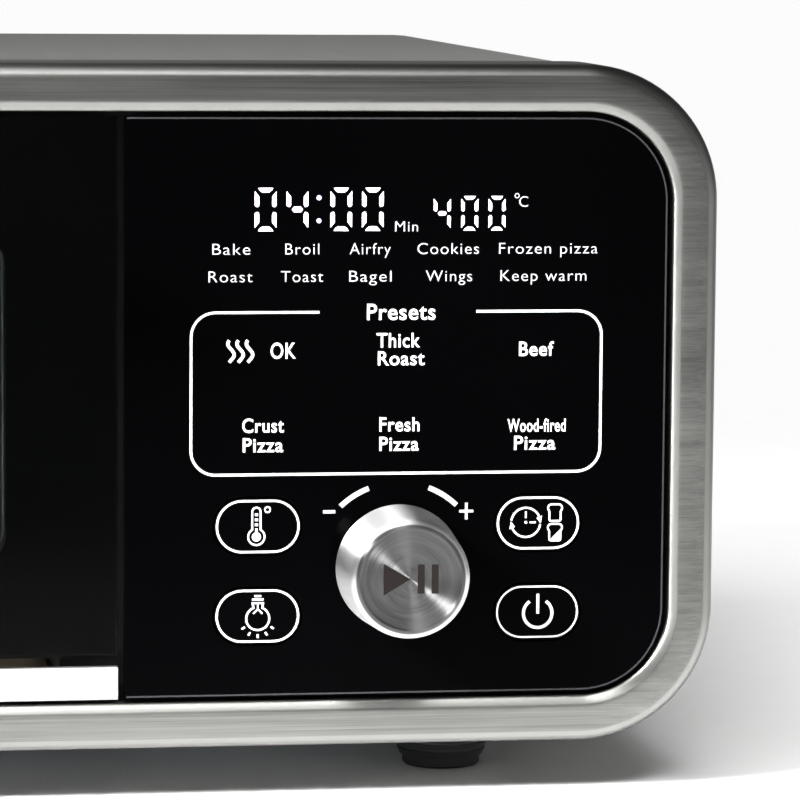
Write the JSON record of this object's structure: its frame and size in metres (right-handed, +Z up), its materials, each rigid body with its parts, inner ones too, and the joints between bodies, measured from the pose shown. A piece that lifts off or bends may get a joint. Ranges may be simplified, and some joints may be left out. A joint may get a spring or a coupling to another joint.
{
  "type": "toaster oven",
  "caption": "Slim countertop toaster and pizza oven: steel-framed drop-down glass door beside a black glass control panel with a rotary knob and capsule keys.",
  "frame": {"origin": "middle of the footprint on the surface that the oven stands on", "axes": "+X to the right as the user sees it, +Y to the back, +Z up; the door and the controls face -Y"},
  "size_m": [0.528, 0.449, 0.219],
  "materials": {
    "steel_front": "horizontal brush, satin",
    "steel_case": "fine brush, satin",
    "steel_knob": "circular brush, bright",
    "steel_handle": "lengthwise brush, satin",
    "steel_bright": "satin",
    "steel_zinc": "zinc-plated, satin",
    "chrome_wire": "polished wire",
    "steel_painted": "satin black",
    "glass_panel": "gloss, back-printed black",
    "glass_door": "gloss, smoked",
    "glass_inner": "clear, gloss",
    "glass_lamp": "frosted",
    "lamp_glass": "frosted",
    "heater_sheath": "oxidised dark, matte",
    "ceramic_white": "unglazed, matte",
    "ceramic_stone": "cordierite, matte",
    "wool": "mineral wool blanket",
    "seal_braid": "braided glass fibre",
    "plastic_black": "satin black",
    "plastic_key": "gloss black",
    "plastic_white": "satin",
    "rubber_black": "matte",
    "circuit_green": "solder mask, satin",
    "electronics": "satin",
    "motor_iron": "laminated iron and copper"
  },
  "bodies": {
    "casing": {"front_frame": "steel_front", "front_bulkhead": "steel_painted", "outer_wrap": "steel_case", "base_plate": "steel_zinc", "rear_panel": "steel_painted", "rear_spacers": "plastic_black", "feet": "plastic_black", "foot_pads": "rubber_black", "case_screws": "steel_zinc", "cord_gland": "plastic_black", "cavity_shell": "steel_bright", "compartment_wall": "steel_zinc", "insulation": "wool", "door_gasket": "seal_braid", "rack_rails": "chrome_wire", "heater_upper_front": "heater_sheath", "heater_upper_rear": "heater_sheath", "heater_lower_front": "heater_sheath", "heater_lower_rear": "heater_sheath", "heater_supports": "steel_bright", "heater_insulators": "ceramic_white", "temperature_probe": "steel_zinc", "thermal_cutout": "ceramic_white", "fan_pan": "steel_bright", "fan_grille": "steel_bright", "fan_motor": "motor_iron", "motor_bracket": "steel_zinc", "lamp_lens": "glass_lamp", "lamp_bulb": "lamp_glass", "lamp_holder": "ceramic_white", "control_glass": "glass_panel", "panel_carrier": "plastic_black", "control_board": "circuit_green", "display_module": "plastic_black", "key_switches": "electronics", "encoder_housing": "steel_zinc", "power_board": "circuit_green", "power_parts": "electronics", "ribbon_cable": "plastic_white", "hinge_brackets": "steel_zinc"},
    "door": {"hinge_pins": "steel_zinc", "door_frame": "steel_painted", "door_liner": "steel_bright", "door_glass": "glass_door", "inner_glass": "glass_inner", "door_handle": "steel_handle"},
    "rack": {"wire_rack": "chrome_wire", "pizza_stone": "ceramic_stone"},
    "tray": {"crumb_tray": "steel_bright"},
    "plunger": {"encoder_plunger": "plastic_white"},
    "knob": {"knob_spindle": "steel_zinc", "knob_hub": "plastic_black", "control_knob": "steel_knob"},
    "key_temperature": {"temperature_key": "plastic_key"},
    "key_light": {"light_key": "plastic_key"},
    "key_timer": {"timer_key": "plastic_key"},
    "key_power": {"power_key": "plastic_key"},
    "fan": {"fan_shaft": "steel_zinc", "fan_rotor": "steel_bright", "cooling_rotor": "steel_zinc"}
  },
  "joints": [
    {"name": "door_hinge", "type": "hinge", "parent": "casing", "child": "door", "pos_m": [-0.08, -0.1745, 0.0515], "axis": [1, 0, 0], "range_deg": [0, 90], "stiffness_Nm_per_rad": 0.55, "springref_deg": -20.05},
    {"name": "rack_slide", "type": "slide", "parent": "casing", "child": "rack", "axis": [0, -1, 0], "range_m": [0, 0.0865]},
    {"name": "tray_slide", "type": "slide", "parent": "casing", "child": "tray", "axis": [0, -1, 0], "range_m": [0, 0.1]},
    {"name": "knob_press", "type": "slide", "parent": "casing", "child": "plunger", "axis": [0, 1, 0], "range_m": [0, 0.001], "stiffness_N_per_m": 1500, "springref_m": -0.0006},
    {"name": "knob_turn", "type": "hinge", "parent": "plunger", "child": "knob", "pos_m": [0.168, -0.1825, 0.0697], "axis": [0, -1, 0], "continuous": true},
    {"name": "key_temperature_press", "type": "slide", "parent": "casing", "child": "key_temperature", "axis": [0, 1, 0], "range_m": [0, 0.001], "stiffness_N_per_m": 900, "springref_m": -0.0006},
    {"name": "key_light_press", "type": "slide", "parent": "casing", "child": "key_light", "axis": [0, 1, 0], "range_m": [0, 0.001], "stiffness_N_per_m": 900, "springref_m": -0.0006},
    {"name": "key_timer_press", "type": "slide", "parent": "casing", "child": "key_timer", "axis": [0, 1, 0], "range_m": [0, 0.001], "stiffness_N_per_m": 900, "springref_m": -0.0006},
    {"name": "key_power_press", "type": "slide", "parent": "casing", "child": "key_power", "axis": [0, 1, 0], "range_m": [0, 0.001], "stiffness_N_per_m": 900, "springref_m": -0.0006},
    {"name": "fan_spin", "type": "hinge", "parent": "casing", "child": "fan", "pos_m": [0.121, 0.022, 0.114], "axis": [1, 0, 0], "continuous": true}
  ],
  "couplings": [
    {"joint": "rack_slide", "follows": "door_hinge", "m_per_rad": 0.055}
  ]
}
